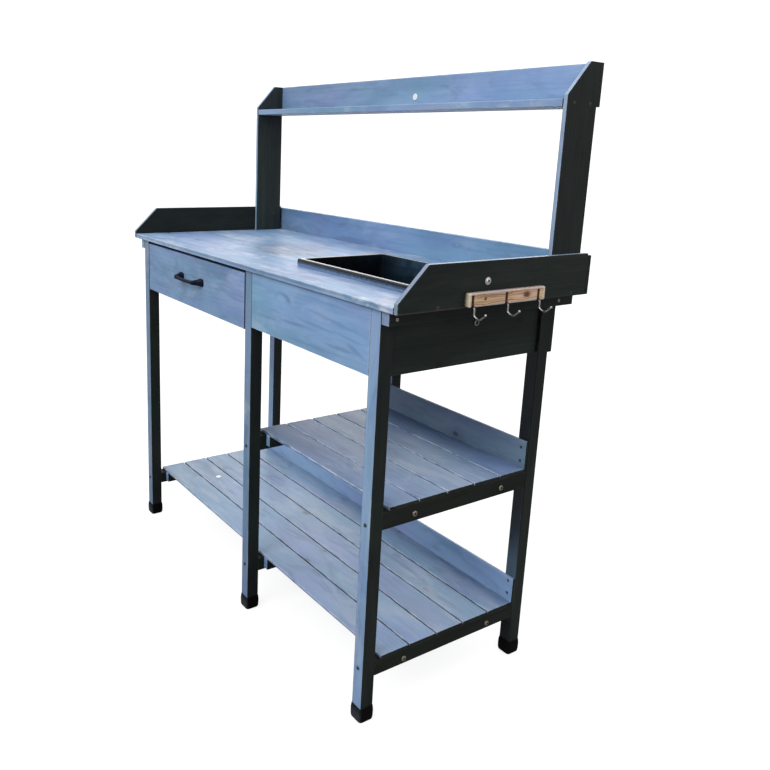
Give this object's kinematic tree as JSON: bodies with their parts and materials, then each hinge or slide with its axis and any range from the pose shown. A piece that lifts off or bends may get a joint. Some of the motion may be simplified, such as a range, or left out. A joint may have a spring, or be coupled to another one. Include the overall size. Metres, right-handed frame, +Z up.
{
  "type": "potting bench",
  "caption": "Free-standing wooden potting bench with a worktop, raised rear shelf, drawer, lift-out sink, slatted shelves below and a hook rail on one end.",
  "frame": {"origin": "centre of the footprint of the whole bench, on the floor", "axes": "+Z up, -Y towards the user at the drawer front, +X along the bench towards the sink end with the hooks"},
  "size_m": [1.2494, 0.5194, 1.296],
  "materials": {
    "blue_wood": "thin slate-blue paint over visible grain, satin",
    "charcoal_wood": "charcoal stain on the end-facing sides, blue on the front edges, satin",
    "bare_wood": "natural pine, clear and satin",
    "inner_wood": "unpainted pine, matt",
    "black_plastic": "moulded black, matt",
    "sink_plastic": "moulded black, glossy rim",
    "white_plastic": "plain white, matt",
    "dark_metal": "dark lacquer",
    "dark_screw": "blackened steel",
    "steel": "zinc plated, dull"
  },
  "bodies": {
    "bench": {"apron_back": "blue_wood", "apron_front": "blue_wood", "apron_left": "charcoal_wood", "apron_right": "charcoal_wood", "board_bolts": "steel", "cover_caps": "white_plastic", "drawer_divider": "charcoal_wood", "drawer_runner_left": "inner_wood", "drawer_runner_right": "inner_wood", "foot_caps": "black_plastic", "hook_rail": "bare_wood", "hooks": "steel", "leg_bolts": "dark_screw", "leg_front_left": "blue_wood", "leg_front_middle": "blue_wood", "leg_front_right": "blue_wood", "leg_rear_left": "blue_wood", "leg_rear_middle": "blue_wood", "leg_rear_right": "blue_wood", "low_back_panel": "blue_wood", "low_battens": "blue_wood", "low_rail_left": "charcoal_wood", "low_rail_middle": "charcoal_wood", "low_rail_right": "charcoal_wood", "low_slat_1": "blue_wood", "low_slat_2": "blue_wood", "low_slat_3": "blue_wood", "low_slat_4": "blue_wood", "low_slat_5": "blue_wood", "mid_back_panel": "blue_wood", "mid_battens": "blue_wood", "mid_rail_middle": "charcoal_wood", "mid_rail_right": "charcoal_wood", "mid_slat_1": "blue_wood", "mid_slat_2": "blue_wood", "mid_slat_3": "blue_wood", "mid_slat_4": "blue_wood", "mid_slat_5": "blue_wood", "rail_bolts": "steel", "shelf_post_left": "charcoal_wood", "shelf_post_right": "charcoal_wood", "side_board_left": "charcoal_wood", "side_board_right": "charcoal_wood", "splash_board": "blue_wood", "upper_back_board": "blue_wood", "upper_shelf": "blue_wood", "wood_screws": "dark_screw", "worktop_cleat_left": "charcoal_wood", "worktop_cleat_right": "charcoal_wood", "worktop_front_board": "blue_wood", "worktop_rear_board": "blue_wood"},
    "drawer": {"drawer_back": "inner_wood", "drawer_bottom": "inner_wood", "drawer_front": "blue_wood", "drawer_handle": "dark_metal", "drawer_screws": "dark_screw", "drawer_side_left": "inner_wood", "drawer_side_right": "inner_wood", "handle_screws": "dark_screw"},
    "sink": {"sink_basin": "sink_plastic"}
  },
  "joints": [
    {"name": "drawer_slide", "type": "slide", "parent": "bench", "child": "drawer", "axis": [0, -1, 0], "range_m": [0, 0.3]},
    {"name": "sink_lift", "type": "slide", "parent": "bench", "child": "sink", "axis": [0, 0, 1], "range_m": [0, 0.25]}
  ]
}
